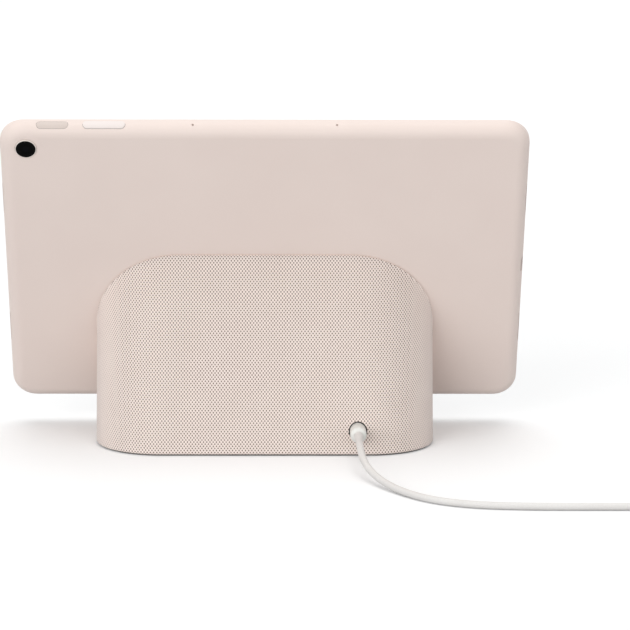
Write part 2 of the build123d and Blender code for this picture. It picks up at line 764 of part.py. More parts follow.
def write_lead(nose):
    plug_start = nose + plug_gap
    plug_end = plug_start + plug_length
    barrel = jack_axis(barrel_length, barrel_diameter, plug_start - barrel_length)
    barrel -= jack_axis(barrel_length, barrel_bore, plug_start - barrel_length)
    write("dc_plug_barrel", barrel)
    body = jack_axis(plug_length, plug_diameter, plug_start)
    write("dc_plug", fillet(body.edges().group_by(Axis.Y)[-1], plug_round))
    boot = Pos(jack_x, plug_end + boot_length / 2, jack_z) * Rot(-90, 0, 0) * Cone(
        boot_diameter / 2, boot_end_diameter / 2, boot_length)
    write("plug_boot", boot)

    radius = cord_diameter / 2
    boot_end = plug_end + boot_length
    coil_y = cord_row_y - coil_outer_turn
    route = [(jack_x, boot_end, jack_z), (jack_x, boot_end + 10.5, jack_z), (-47.4, 80.5, 7.6), (-53.0, 96.0, 3.7),
             (-63.0, 114.5, 1.95), (-76.5, 131.2, radius), (-94.5, 140.9, radius), (-118.0, 144.4, radius),
             (-148.0, 144.8, radius), (-176.0, 144.6, radius), (coil_x + 13.5, cord_row_y, radius)]
    cord, cord_run = tube(route)
    write("power_cord", cord)

    # The spare length lies wound in a ring three turns wide and high, with one more turn on its inner row.
    middle = (coil_inner_turn + coil_outer_turn) / 2
    ring_section = Pos(middle, coil_height / 2) * RectangleRounded(coil_height, coil_height, radius * 0.98)
    last_turn = Pos(coil_inner_turn, coil_height) * RectangleRounded(cord_diameter, 2 * cord_diameter, radius * 0.98)
    section = Rot(90, 0, 0) * (ring_section + last_turn)
    write("cord_coil", Pos(coil_x, coil_y, 0) * revolve(section, Axis.Z))
    turns = coil_rows * sum(coil_inner_turn + row * cord_diameter for row in range(coil_rows)) + coil_inner_turn
    wound = math.radians(coil_turn) * turns

    exit_x = coil_x - coil_inner_turn
    gland_z = adapter_height / 2
    tail_start = coil_y - math.sqrt((coil_inner_turn + radius) ** 2 - (coil_inner_turn - radius) ** 2)
    tail_end = coil_y - coil_outer_turn - radius - 8
    tail_route = [(exit_x, tail_start, coil_height + radius), (exit_x, (tail_start + tail_end) / 2, gland_z),
                  (exit_x, tail_end, gland_z)]
    tail, tail_run = tube(tail_route)
    write("cord_tail", tail)
    print("lead, from plug to adapter", round(cord_run + wound + tail_run + plug_length + boot_length))

    gland = Pos(exit_x, tail_end - gland_length / 2, gland_z) * Rot(90, 0, 0) * Cone(
        boot_end_diameter / 2, gland_diameter / 2, gland_length)
    write("adapter_gland", gland)
    adapter_y = tail_end - gland_length - adapter_depth / 2
    body = Pos(exit_x, adapter_y, adapter_height / 2) * Box(adapter_width, adapter_depth, adapter_height)
    body = fillet(body.edges().filter_by(Axis.Y), adapter_round)
    body = fillet(body.edges().group_by(Axis.Y)[0] + body.edges().group_by(Axis.Y)[-1], adapter_round * 0.3)
    write("adapter_body", body)
    prong = Pos(0, adapter_y - adapter_depth / 2 - prong_length / 2, adapter_height / 2) * Box(
        prong_thickness, prong_length, prong_width)
    write("adapter_prongs", [Pos(exit_x + side * prong_pitch / 2, 0, 0) * prong for side in (-1, 1)])


os.makedirs("parts", exist_ok=True)
write_dock_body()
write_contacts()
write_loudspeaker()
nose_face = write_inlet()
write("tablet_housing", tablet_housing(), tablet)
write_keys()
write_display()
write_cameras()
write_tablet_inside()
write_lead(nose_face)
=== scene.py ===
# Smart display from behind: a tablet on its fabric-covered charging dock, with the low-voltage lead.
import json
import math

import bpy
from mathutils import Matrix, Vector


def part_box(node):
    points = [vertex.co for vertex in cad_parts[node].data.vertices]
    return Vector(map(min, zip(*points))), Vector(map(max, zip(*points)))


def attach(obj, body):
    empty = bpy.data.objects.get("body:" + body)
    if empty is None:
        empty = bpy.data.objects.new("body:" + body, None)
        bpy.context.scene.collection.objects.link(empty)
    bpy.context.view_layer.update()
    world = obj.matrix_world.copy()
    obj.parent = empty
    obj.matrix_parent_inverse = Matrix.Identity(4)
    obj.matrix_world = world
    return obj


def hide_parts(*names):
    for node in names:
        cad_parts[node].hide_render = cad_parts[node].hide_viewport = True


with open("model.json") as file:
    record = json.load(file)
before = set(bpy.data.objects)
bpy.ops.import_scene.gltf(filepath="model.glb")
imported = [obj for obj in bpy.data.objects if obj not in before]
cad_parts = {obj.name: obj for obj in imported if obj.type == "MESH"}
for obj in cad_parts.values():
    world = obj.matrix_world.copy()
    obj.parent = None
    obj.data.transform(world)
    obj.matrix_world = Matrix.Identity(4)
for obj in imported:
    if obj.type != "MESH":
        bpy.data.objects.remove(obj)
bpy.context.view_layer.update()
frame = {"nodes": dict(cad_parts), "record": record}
parts = frame["nodes"]
mm = 0.001


# Small helpers

def tint(red, green, blue):
    # A screen colour, 0 to 255, as the linear colour that a shader takes.
    def linear(level):
        level /= 255
        return level / 12.92 if level <= 0.04045 else ((level + 0.055) / 1.055) ** 2.4
    return (linear(red), linear(green), linear(blue), 1)


def add(tree, kind, inputs=None, **settings):
    node = tree.nodes.new("ShaderNode" + kind)
    for key, value in settings.items():
        setattr(node, key, value)
    for key, value in (inputs or {}).items():
        if isinstance(value, bpy.types.NodeSocket):
            tree.links.new(value, node.inputs[key])
        else:
            node.inputs[key].default_value = value
    return node


def math2(tree, operation, first, second=0.0, third=0.0):
    return add(tree, "Math", {0: first, 1: second, 2: third}, operation=operation).outputs[0]


def remap(tree, value, fromLow, fromHigh, toLow, toHigh, kind="LINEAR"):
    return add(tree, "MapRange", {0: value, 1: fromLow, 2: fromHigh, 3: toLow, 4: toHigh},
               interpolation_type=kind).outputs[0]


def blendColour(tree, factor, first, second):
    return add(tree, "Mix", {0: factor, 6: first, 7: second}, data_type="RGBA").outputs[2]


def noise(tree, place, scale, detail):
    return add(tree, "TexNoise", {"Vector": place, "Scale": scale, "Detail": detail}).outputs[0]


def newMaterial(name):
    material = bpy.data.materials.new(name)
    material.use_nodes = True
    tree = material.node_tree
    return material, tree, tree.nodes["Principled BSDF"]


def toCollection(thing):
    bpy.context.scene.collection.objects.link(thing)
    return thing


def meshPiece(name, points, faces, material, body, sharpAngle=38):
    mesh = bpy.data.meshes.new(name)
    mesh.from_pydata([tuple(point) for point in points], [], faces)
    mesh.materials.append(material)
    mesh.shade_smooth()
    mesh.set_sharp_from_angle(angle=math.radians(sharpAngle))
    piece = toCollection(bpy.data.objects.new(name, mesh))
    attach(piece, body)
    return piece


def ringFaces(rows, around, closed=True, flipped=False):
    # Faces between rows of points, each row a ring of its own. Closed joins the last row to the first.
    faces = []
    for row in range(rows if closed else rows - 1):
        here, beyond = row * around, (row + 1) % rows * around
        for step in range(around):
            after = (step + 1) % around
            if flipped:
                faces.append((here + step, beyond + step, beyond + after, here + after))
            else:
                faces.append((here + step, here + after, beyond + after, beyond + step))
    return faces


def latheMesh(profile, centre, axis, across, steps):
    # Points and faces of a turned form. The profile is (distance along the axis, radius).
    side = axis.cross(across)
    points, faces = [], []
    for along, radius in profile:
        for step in range(steps):
            angle = 2 * math.pi * step / steps
            outward = across * math.cos(angle) + side * math.sin(angle)
            points.append(centre + axis * along + outward * radius)
    faces += ringFaces(len(profile), steps, closed=False)
    faces.append(tuple(reversed(range(steps))))
    faces.append(tuple((len(profile) - 1) * steps + step for step in range(steps)))
    return points, faces


# Camera, floor and light. Angles are in degrees, and a lamp's tilt is towards the rear and the left.

studio = {
    "cameraPlace": (0, 1.6702, 0.3851), "cameraDown": 10.879, "cameraTurn": 0.859, "cameraRoll": 0.204,
    "lens": 194.33, "nearest": 0.05, "farthest": 30,
    "floorSize": 24.0, "floorRough": 0.9,
    "floorColour": (250, 250, 250),     # as the camera sees it
    "floorBounce": (196, 197, 199),     # as it throws light on the object
    "floorLift": (0.082, 0.086, 0.088),
    "skyDiffuse": 0.51, "lampDistance": 2,
    "topLight": {"strength": 1.02, "spread": 50, "tilt": (0, 0)},
    "rearLight": {"strength": 1.7, "spread": 50, "tilt": (78, 40)},
    "sideLight": {"strength": 0.54, "spread": 50, "tilt": (78, -40)},
    "farLight": {"strength": 0.28, "spread": 50, "tilt": (-45, 0)},
}


def addCamera(look):
    lens = bpy.data.cameras.new("viewCamera")
    lens.lens = look["lens"]
    lens.clip_start = look["nearest"]
    lens.clip_end = look["farthest"]
    eye = toCollection(bpy.data.objects.new("viewCamera", lens))
    turn = Matrix.Rotation(math.radians(180 - look["cameraTurn"]), 4, "Z")
    tip = Matrix.Rotation(math.radians(90 - look["cameraDown"]), 4, "X")
    roll = Matrix.Rotation(math.radians(look["cameraRoll"]), 4, "Z")
    eye.matrix_world = Matrix.Translation(look["cameraPlace"]) @ turn @ tip @ roll
    bpy.context.scene.camera = eye


def seenDirectly(tree):
    # 1 for camera, glossy and transmission rays, 0 for the light that falls on the object.
    path = add(tree, "LightPath")
    seen = math2(tree, "MAXIMUM", path.outputs["Is Camera Ray"], path.outputs["Is Glossy Ray"])
    return math2(tree, "MAXIMUM", seen, path.outputs["Is Transmission Ray"])


def addSky(look):
    world = bpy.data.worlds.new("studioSky")
    bpy.context.scene.world = world
    world.use_nodes = True
    tree = world.node_tree
    strength = remap(tree, seenDirectly(tree), 0, 1, look["skyDiffuse"], 1.0)
    sky = tree.nodes["Background"]
    sky.inputs["Color"].default_value = (1, 1, 1, 1)
    tree.links.new(strength, sky.inputs["Strength"])


def addFloor(look):
    material, tree, shader = newMaterial("paperFloor")
    shader.inputs["Roughness"].default_value = look["floorRough"]
    shader.inputs["Specular IOR Level"].default_value = 0.0
    seen = seenDirectly(tree)
    colour = blendColour(tree, seen, tint(*look["floorBounce"]), tint(*look["floorColour"]))
    tree.links.new(colour, shader.inputs["Base Color"])
    glow = add(tree, "Emission", {"Color": (*look["floorLift"], 1), "Strength": seen})
    both = add(tree, "AddShader", {0: shader.outputs[0], 1: glow.outputs[0]})
    tree.links.new(both.outputs[0], tree.nodes["Material Output"].inputs["Surface"])
    half = look["floorSize"] / 2
    mesh = bpy.data.meshes.new("paperFloor")
    corners = [(-half, -half, 0), (half, -half, 0), (half, half, 0), (-half, half, 0)]
    mesh.from_pydata(corners, [], [(0, 1, 2, 3)])
    mesh.materials.append(material)
    toCollection(bpy.data.objects.new("paperFloor", mesh))


def addLamp(name, look, distance):
    lamp = bpy.data.lights.new(name, "SUN")
    lamp.energy = look["strength"]
    lamp.angle = math.radians(look["spread"])
    stand = toCollection(bpy.data.objects.new(name, lamp))
    towardsRear, towardsLeft = (math.radians(angle) for angle in look["tilt"])
    direction = Vector((math.sin(towardsLeft), math.sin(towardsRear),
                        math.cos(towardsRear) * math.cos(towardsLeft)))
    stand.rotation_euler = direction.to_track_quat("Z", "Y").to_euler()
    stand.location = direction.normalized() * distance


scene = bpy.context.scene
scene.view_settings.view_transform = "Standard"
addCamera(studio)
addSky(studio)
addFloor(studio)
for lampName in ("topLight", "rearLight", "sideLight", "farLight"):
    addLamp(lampName, studio[lampName], studio["lampDistance"])
print("camera, floor and light are set")


# Finishes, for the frame's parts and the pieces made here. Sizes are in millimetres.

finishes = {
    "grey_plastic": {"light": (116, 114, 113), "dark": (100, 98, 97), "rough": (0.5, 0.64),
                     "grain": 0.5, "depth": 0.02},
    "pale_plastic": {"light": (226, 211, 202), "dark": (218, 203, 194), "rough": (0.48, 0.6),
                     "grain": 0.35, "depth": 0.015},
    "dark_rubber": {"light": (134, 131, 127), "dark": (120, 117, 113), "rough": (0.72, 0.88),
                    "grain": 0.8, "depth": 0.04},
    "zinc_steel": {"light": (190, 190, 193), "dark": (166, 166, 170), "rough": (0.28, 0.44),
                   "grain": 0.6, "depth": 0.01, "metal": 1, "stretch": (1, 1, 0.15)},
    "magnet_nickel": {"light": (206, 204, 200), "dark": (188, 186, 182), "rough": (0.18, 0.3),
                      "grain": 1.2, "depth": 0.006, "metal": 1},
    "cone_paper": {"light": (48, 47, 46), "dark": (30, 30, 30), "rough": (0.8, 0.92),
                   "grain": 0.45, "depth": 0.06},
    "black_plastic": {"light": (34, 34, 35), "dark": (24, 24, 25), "rough": (0.42, 0.56),
                      "grain": 0.4, "depth": 0.015},
    "circuit_board": {"light": (38, 92, 62), "dark": (22, 66, 44), "rough": (0.34, 0.5),
                      "grain": 1.6, "depth": 0.03},
    "contact_gold": {"light": (232, 196, 122), "dark": (214, 174, 98), "rough": (0.16, 0.28),
                     "grain": 0.3, "depth": 0.004, "metal": 1},
    "bezel_plastic": {"light": (236, 227, 219), "dark": (230, 220, 212), "rough": (0.4, 0.52),
                      "grain": 0.3, "depth": 0.01},
    "bare_aluminium": {"light": (214, 214, 216), "dark": (198, 198, 201), "rough": (0.3, 0.44),
                       "grain": 0.5, "depth": 0.008, "metal": 1, "stretch": (0.12, 1, 1)},
    "camera_trim": {"light": (236, 226, 218), "dark": (224, 213, 205), "rough": (0.3, 0.42),
                    "grain": 0.12, "depth": 0.006},
    "tinned_steel": {"light": (205, 205, 204), "dark": (186, 186, 186), "rough": (0.22, 0.36),
                     "grain": 0.7, "depth": 0.008, "metal": 1},
    "lead_plastic": {"light": (236, 236, 231), "dark": (230, 230, 225), "rough": (0.36, 0.48),
                     "grain": 0.5, "depth": 0.008},
    "lead_rubber": {"light": (228, 226, 223), "dark": (221, 218, 215), "rough": (0.42, 0.56),
                    "grain": 0.8, "depth": 0.012},
    "adapter_plastic": {"light": (240, 238, 236), "dark": (234, 232, 230), "rough": (0.3, 0.42),
                        "grain": 0.35, "depth": 0.01},
    "coated_aluminium": {"light": (236, 221, 213), "dark": (231, 215, 207), "rough": (0.5, 0.6),
                         "grain": 0.16, "depth": 0.008, "patch": 60},
    "key_plastic": {"light": (212, 199, 191), "dark": (206, 192, 184), "rough": (0.4, 0.5),
                    "grain": 0.2, "depth": 0.006},
    "volume_plastic": {"light": (234, 224, 220), "dark": (229, 219, 214), "rough": (0.34, 0.44),
                       "grain": 0.2, "depth": 0.006},
    "display_black": {"light": (10, 10, 12), "dark": (6, 6, 8), "rough": (0.2, 0.3),
                      "grain": 2.0, "depth": 0.002},
    "sound_mesh": {"light": (30, 28, 27), "dark": (12, 11, 11), "rough": (0.6, 0.8),
                   "grain": 0.1, "depth": 0.03},
}


def plainFinish(name, look):
    material, tree, shader = newMaterial(name)
    place = add(tree, "TexCoord").outputs["Object"]
    stretched = add(tree, "Mapping", {"Vector": place, "Scale": look.get("stretch", (1, 1, 1))}).outputs[0]
    grain = noise(tree, stretched, 1 / (look["grain"] * mm), 3.0)
    patch = noise(tree, place, 1 / (look.get("patch", 25) * mm), 2.0)
    mottle = math2(tree, "ADD", math2(tree, "MULTIPLY", grain, 0.5), math2(tree, "MULTIPLY", patch, 0.5))
    shade = remap(tree, mottle, 0.35, 0.65, 0, 1)
    colour = blendColour(tree, shade, tint(*look["dark"]), tint(*look["light"]))
    tree.links.new(colour, shader.inputs["Base Color"])
    tree.links.new(remap(tree, patch, 0.3, 0.7, *look["rough"]), shader.inputs["Roughness"])
    bump = add(tree, "Bump", {"Height": grain, "Distance": look["depth"] * mm, "Strength": 1.0})
    tree.links.new(bump.outputs[0], shader.inputs["Normal"])
    shader.inputs["Metallic"].default_value = look.get("metal", 0)
    return material


lensLook = {
    "edge": (13, 13, 13), "inner": (7, 7, 7), "glint": (11, 11, 14), "rough": (0.06, 0.1),
    "iris": 1.6, "irisSoft": 0.35, "rimFrom": 3.2, "rimTo": 4.2, "hazeScale": 400.0, "shine": 0.03,
}


def lensFinish(look):
    # Dark cover over the rear camera, with the faint ring of the lens below it.
    material, tree, shader = newMaterial("cameraGlass")
    low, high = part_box("rear_camera_lens")
    middle = (low + high) / 2
    place = add(tree, "TexCoord").outputs["Object"]
    fromMiddle = add(tree, "VectorMath", {0: place, 1: middle}, operation="DISTANCE").outputs["Value"]
    irisEnd = look["iris"] + look["irisSoft"]
    ring = remap(tree, fromMiddle, look["iris"] * mm, irisEnd * mm, 0, 1, "SMOOTHSTEP")
    rim = remap(tree, fromMiddle, look["rimFrom"] * mm, look["rimTo"] * mm, 0, 1, "SMOOTHSTEP")
    inside = blendColour(tree, ring, tint(*look["glint"]), tint(*look["inner"]))
    tree.links.new(blendColour(tree, rim, inside, tint(*look["edge"])), shader.inputs["Base Color"])
    haze = noise(tree, place, look["hazeScale"], 2.0)
    tree.links.new(remap(tree, haze, 0.3, 0.7, *look["rough"]), shader.inputs["Roughness"])
    shader.inputs["Specular IOR Level"].default_value = look["shine"]
    return material


glassLook = {
    "border": (242, 233, 227), "borderShade": (237, 228, 221),
    "panel": (13, 13, 15), "panelShade": (8, 8, 10),
    "side": 7.77, "top": 7.52, "corner": 5.0, "lean": 27.3, "rough": (0.04, 0.09),
    "camera": 1.45, "cameraFromTop": 3.52, "sensor": 0.7, "sensorAcross": 9.5, "dot": (20, 20, 22),
    "thickness": 0.9, "softEdge": 0.06, "smearScale": 30.0, "shine": 0.3,
}


def screenFinish(look):
    # Cover glass of a display that is off: pale printed border, black panel, camera and light sensor.
    material, tree, shader = newMaterial("coverGlass")
    low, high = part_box("display_glass")
    lean = math.radians(look["lean"])
    halfWide = (high.x - low.x) / 2
    halfTall = (high.z - low.z - look["thickness"] * mm * math.sin(lean)) / 2 / math.cos(lean)
    place = add(tree, "TexCoord").outputs["Object"]
    soft = look["softEdge"]
    fromMiddle = add(tree, "VectorMath", {0: place, 1: (low + high) / 2}, operation="SUBTRACT").outputs[0]
    across = add(tree, "SeparateXYZ", {0: fromMiddle}).outputs[0]
    up = add(tree, "VectorMath", {0: fromMiddle, 1: (0, math.sin(lean), math.cos(lean))},
             operation="DOT_PRODUCT").outputs["Value"]

    # Distance from the edge of the panel, a rectangle with small rounded corners
    corner = look["corner"] * mm
    straightX, straightY = halfWide - look["side"] * mm - corner, halfTall - look["top"] * mm - corner
    besideX = math2(tree, "SUBTRACT", math2(tree, "ABSOLUTE", across), straightX)
    besideY = math2(tree, "SUBTRACT", math2(tree, "ABSOLUTE", up), straightY)
    outX, outY = math2(tree, "MAXIMUM", besideX, 0.0), math2(tree, "MAXIMUM", besideY, 0.0)
    squares = math2(tree, "MULTIPLY_ADD", outX, outX, math2(tree, "MULTIPLY", outY, outY))
    reach = math2(tree, "SQRT", squares)
    inside = math2(tree, "MINIMUM", math2(tree, "MAXIMUM", besideX, besideY), 0.0)
    border = remap(tree, math2(tree, "ADD", reach, inside), corner - soft * mm, corner + soft * mm, 0, 1)

    smear = noise(tree, place, look["smearScale"], 4.0)
    panel = blendColour(tree, smear, tint(*look["panelShade"]), tint(*look["panel"]))
    printed = blendColour(tree, smear, tint(*look["borderShade"]), tint(*look["border"]))
    colour = blendColour(tree, border, panel, printed)
    for size, sideways in ((look["camera"], 0.0), (look["sensor"], look["sensorAcross"])):
        away = math2(tree, "SUBTRACT", across, sideways * mm)
        above = math2(tree, "SUBTRACT", up, halfTall - look["cameraFromTop"] * mm)
        squares = math2(tree, "MULTIPLY_ADD", away, away, math2(tree, "MULTIPLY", above, above))
        far = math2(tree, "SQRT", squares)
        dot = remap(tree, far, (size - soft) * mm, (size + soft) * mm, 1, 0)
        colour = blendColour(tree, dot, colour, tint(*look["dot"]))
    tree.links.new(colour, shader.inputs["Base Color"])
    tree.links.new(remap(tree, smear, 0.3, 0.7, *look["rough"]), shader.inputs["Roughness"])
    shader.inputs["Specular IOR Level"].default_value = look["shine"]
    return material


knit = {
    "acrossPitch": 1.59, "rowPitch": 1.04,
    # hole: painted shade, the dark colour given to the hollow of each eyelet
    "thread": (249, 236, 228), "threadShade": (236, 220, 212), "hole": (116, 99, 91),
    "holeFrom": 0.0, "holeTo": 0.75,
    # painted shade of the eyelets faded towards both ends, which lightens them
    "bendFrom": 68.0, "bendTo": 82.0, "endShadeFade": 0.6,     # at both ends of the dock
    "wobble": 0.08, "wobbleScale": 0.35, "fibreScale": 5.5, "fibreShare": 0.85, "patchScale": 0.06,
    "rough": (0.82, 0.94), "relief": 0.22, "reliefStrength": 0.6,
    "sheen": 0.55, "sheenRough": 0.4, "shine": 0.2,
}


def knitFinish(look):
    # Fine spacer knit: rows of small eyelets, every second row half a step on, each eyelet darkened with
    # painted shade. Its map is in millimetres.
    material, tree, shader = newMaterial("knitFabric")
    place = add(tree, "UVMap", uv_map="knitMap").outputs["UV"]
    drift = add(tree, "TexNoise", {"Vector": place, "Scale": look["wobbleScale"],
                                   "Detail": 2.0}).outputs["Color"]
    shift = add(tree, "VectorMath", {0: drift, 1: (0.5, 0.5, 0.5)}, operation="SUBTRACT").outputs[0]
    moved = add(tree, "VectorMath", {0: shift, 1: (2 * look["wobble"],) * 3, 2: place},
                operation="MULTIPLY_ADD").outputs[0]
    split = add(tree, "SeparateXYZ", {0: moved})
    acrossTurns = math2(tree, "MULTIPLY", split.outputs[0], 2 * math.pi / look["acrossPitch"])
    alongTurns = math2(tree, "MULTIPLY", split.outputs[1], math.pi / look["rowPitch"])
    across, along = math2(tree, "COSINE", acrossTurns), math2(tree, "COSINE", alongTurns)
    weave = math2(tree, "MULTIPLY", across, along)
    eyeletShade = remap(tree, weave, look["holeFrom"], look["holeTo"], 0, 1, "SMOOTHSTEP")
    # Towards both ends of the dock the painted eyelet shade is faded, so the ends read lighter and smoother
    sideways = add(tree, "SeparateXYZ", {0: add(tree, "TexCoord").outputs["Object"]}).outputs[0]
    bend = remap(tree, math2(tree, "ABSOLUTE", sideways), look["bendFrom"] * mm, look["bendTo"] * mm,
                 1, 1 - look["endShadeFade"], "SMOOTHSTEP")
    eyeletShade = math2(tree, "MULTIPLY", eyeletShade, bend)
    fibre = noise(tree, place, look["fibreScale"], 3.0)
    patch = noise(tree, place, look["patchScale"], 2.0)
    mottle = math2(tree, "ADD", math2(tree, "MULTIPLY", fibre, look["fibreShare"]),
                   math2(tree, "MULTIPLY", patch, 1 - look["fibreShare"]))
    shade = remap(tree, mottle, 0.35, 0.65, 0, 1)
    yarn = blendColour(tree, shade, tint(*look["threadShade"]), tint(*look["thread"]))
    # Painted shade: the eyelets take the dark hole colour
    tree.links.new(blendColour(tree, eyeletShade, yarn, tint(*look["hole"])), shader.inputs["Base Color"])
    tree.links.new(remap(tree, fibre, 0.3, 0.7, *look["rough"]), shader.inputs["Roughness"])
    crown = math2(tree, "MULTIPLY_ADD", weave, -0.5, 0.5)
    height = math2(tree, "MULTIPLY_ADD", fibre, 0.25, crown)
    bump = add(tree, "Bump", {"Height": height, "Distance": look["relief"] * mm,
                              "Strength": look["reliefStrength"]})
    tree.links.new(bump.outputs[0], shader.inputs["Normal"])
    shader.inputs["Sheen Weight"].default_value = look["sheen"]
    shader.inputs["Sheen Roughness"].default_value = look["sheenRough"]
    shader.inputs["Specular IOR Level"].default_value = look["shine"]
    return material


materials = {name: plainFinish(name, look) for name, look in finishes.items()}
materials["camera_glass"] = lensFinish(lensLook)
materials["knit_fabric"] = knitFinish(knit)
materials["cover_glass"] = screenFinish(glassLook)
print("finishes are made:", len(materials))


# Sizes of the dock and tablet in the frame, in millimetres

dock = {
    "width": 169.0, "depth": 71.9, "height": 95.5, "chin": 17.7, "lean": 27.3, "footLift": 0.8,
    "footCorner": 33.0, "faceTopCorner": 42.0, "faceLowCorner": 30.0,
    "skin": 1.2, "fold": 2.4, "rim": 0.5, "lip": 0.3, "lipRound": 0.3,
    # the turned-up hem at the foot: its size, then each point's way in and up as a share of that
    "hem": 0.55, "hemCurve": ((1.2, 0), (0.55, 0.12), (0.16, 0.5)), "hemTop": 1.1,
    "arcSteps": 24, "sideSteps": 12, "rows": 26, "innerRows": 5, "rimSteps": 6,
    "inlet": (-46.0, 11.8), "inletHole": 9.2, "inletSteps": 56, "inletCut": (24, 42),
}

tablet = {
    "height": 169.0, "middleUp": 78.9, "seatGap": 0.3, "backEdge": 6.0, "keyDepth": 3.9, "keyMiddle": 4.1,
}


# Lead: cord with its wound spare length, then boot, plug, gland and adapter

lead = {
    "diameter": 3.5, "exit": (-46.0, 32.26, 11.8),
    "route": [(-46.0, 54.56, 11.8), (-46.0, 65.06, 11.8), (-47.4, 80.5, 7.6), (-53.0, 96.0, 3.7),
              (-63.0, 114.5, 1.95), (-76.5, 131.2, 1.75), (-94.5, 140.9, 1.75), (-118.0, 144.4, 1.75),
              (-148.0, 144.8, 1.75), (-176.0, 144.6, 1.75), (-190.5, 144.5, 1.75)],
    "coilCentre": (-204.0, 120.0), "coilTurn": 333.0, "pointsPerTurn": 15,
    # radius and height of each turn's centreline, in the order in which it is wound
    "turns": [(24.5, 1.75), (21.0, 1.75), (17.5, 1.75), (17.5, 5.25), (21.0, 5.25), (24.5, 5.25),
              (24.5, 8.75), (21.0, 8.75), (17.5, 8.75), (17.5, 12.25)],
    "tail": [(-221.5, 108.93, 12.25), (-221.5, 97.34, 14.0), (-221.5, 85.75, 14.0)],
    "roundSteps": 7, "curveSteps": 8,
}


def leadPoints(look):
    points = [Vector(place) for place in look["route"]]
    step = look["coilTurn"] / look["pointsPerTurn"]
    angle = 90 + step / 2
    for radius, height in look["turns"]:
        reach = radius / math.cos(math.radians(step / 2))
        for number in range(look["pointsPerTurn"]):
            turned = math.radians(angle)
            points.append(Vector((look["coilCentre"][0] + reach * math.cos(turned),
                                  look["coilCentre"][1] + reach * math.sin(turned), height)))
            angle += step
    points += [Vector(place) for place in look["tail"]]
    return points


def addCord(look):
    curve = bpy.data.curves.new("leadCord", "CURVE")
    curve.dimensions = "3D"
    curve.bevel_depth = look["diameter"] / 2 * mm
    curve.bevel_resolution = look["roundSteps"]
    curve.use_fill_caps = True
    curve.resolution_u = look["curveSteps"]
    points = leadPoints(look)
    spline = curve.splines.new("NURBS")
    spline.points.add(len(points) - 1)
    for knot, place in zip(spline.points, points):
        knot.co = (*(place * mm), 1)
    spline.order_u = 3
    spline.use_endpoint_u = True
    curve.materials.append(materials["lead_rubber"])
    cord = toCollection(bpy.data.objects.new("leadCord", curve))
    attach(cord, "power_lead")
    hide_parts("power_cord", "cord_coil", "cord_tail")
    return cord


leadCord = addCord(lead)


def turnedPiece(name, node, profile, slot, body="power_lead", steps=56, outward=True):
    # A turned form on the long axis of one of the lead's nodes. The profile is (along, radius).
    low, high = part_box(node)
    middle = (low + high) / 2
    start = Vector((middle.x, low.y if outward else high.y, middle.z))
    axis = Vector((0, 1 if outward else -1, 0))
    points, faces = latheMesh([(along * mm, radius * mm) for along, radius in profile], start, axis,
                              Vector((0, 0, 1)), steps)
    piece = meshPiece(name, points, faces, materials[slot], body)
    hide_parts(node)
    return piece


plugCap = {
    "radius": 4.02, "length": 12.3, "endRound": 1.7, "endSteps": 8, "crown": 0.35, "crownSteps": 4,
    "collar": 2.3, "rimRound": 0.3,
}
plugBoot = {
    "length": 12.0, "straight": 0, "startRadius": 2.2, "endRadius": 1.82, "leastRadius": 1.76, "taper": 0.8,
    "ribs": 3, "ribDepth": 0.14, "ribFrom": 0.45, "ribTo": 0.95, "ribSharp": 8, "seated": 0.4, "steps": 36,
    "endBevel": (0.12, 0.07),
}
cableGland = {
    "length": 11.0, "straight": 0.8, "startRadius": 3.5, "endRadius": 2.0, "leastRadius": 1.8, "taper": 1,
    "ribs": 4, "ribDepth": 0.35, "ribFrom": 0.1, "ribTo": 0.9, "ribSharp": 6, "seated": 0.6, "steps": 44,
}


def capProfile(look):
    # Moulded cap: straight body, soft outer edge, and a slightly crowned end that rises to the boot.
    rim, radius, endRound = look["rimRound"], look["radius"], look["endRound"]
    profile = [(0, radius - rim), (rim * 0.4, radius - rim * 0.3), (rim, radius)]
    endStart = look["length"] - endRound - look["crown"]
    for step in range(look["endSteps"] + 1):
        angle = math.radians(step * 90 / look["endSteps"])
        profile.append((endStart + endRound * math.sin(angle), radius - endRound * (1 - math.cos(angle))))
    inner = radius - endRound
    for step in range(1, look["crownSteps"] + 1):
        share = step / look["crownSteps"]
        rise = look["crown"] * math.sin(math.radians(share * 90))
        radius = inner + (look["collar"] - inner) * step / look["crownSteps"]
        profile.append((endStart + endRound + rise, radius))
    return profile


def sleeveProfile(look):
    # Sleeve that narrows to the cord, with shallow grooves along a stretch of it.
    start, ribFrom, ribTo = look["straight"], look["ribFrom"], look["ribTo"]
    profile = [(-look["seated"], look["startRadius"]), (start, look["startRadius"])]
    for step in range(1, look["steps"] + 1):
        share = step / look["steps"]
        radius = look["startRadius"] + (look["endRadius"] - look["startRadius"]) * share ** look["taper"]
        if ribFrom < share < ribTo:
            turn = (share - ribFrom) / (ribTo - ribFrom) * look["ribs"] * math.pi
            radius = max(radius - look["ribDepth"] * math.sin(turn) ** look["ribSharp"], look["leastRadius"])
        profile.append((start + (look["length"] - start) * share, radius))
    if "endBevel" in look:
        along, inward = look["endBevel"]
        profile.append((look["length"] + along, look["endRadius"] - inward))
    return profile


capPiece = turnedPiece("plugCap", "dc_plug", capProfile(plugCap), "lead_plastic")
bootPiece = turnedPiece("plugSleeve", "plug_boot", sleeveProfile(plugBoot), "lead_rubber")
glandPiece = turnedPiece("cableGland", "adapter_gland", sleeveProfile(cableGland), "lead_rubber")


adapter = {
    "corner": 5.0, "leastCorner": 1.0, "cornerSteps": 8, "endRound": 1.5, "endSteps": 5,
    "seamFrom": 15.0,     # from the side with the prongs
    "seamWidth": 0.5, "seamDepth": 0.35, "seamBevel": 0.08,
    "faceRim": 2.4, "faceSunk": 0.4, "faceSlope": 0.15, "faceEdge": 0.05,
}


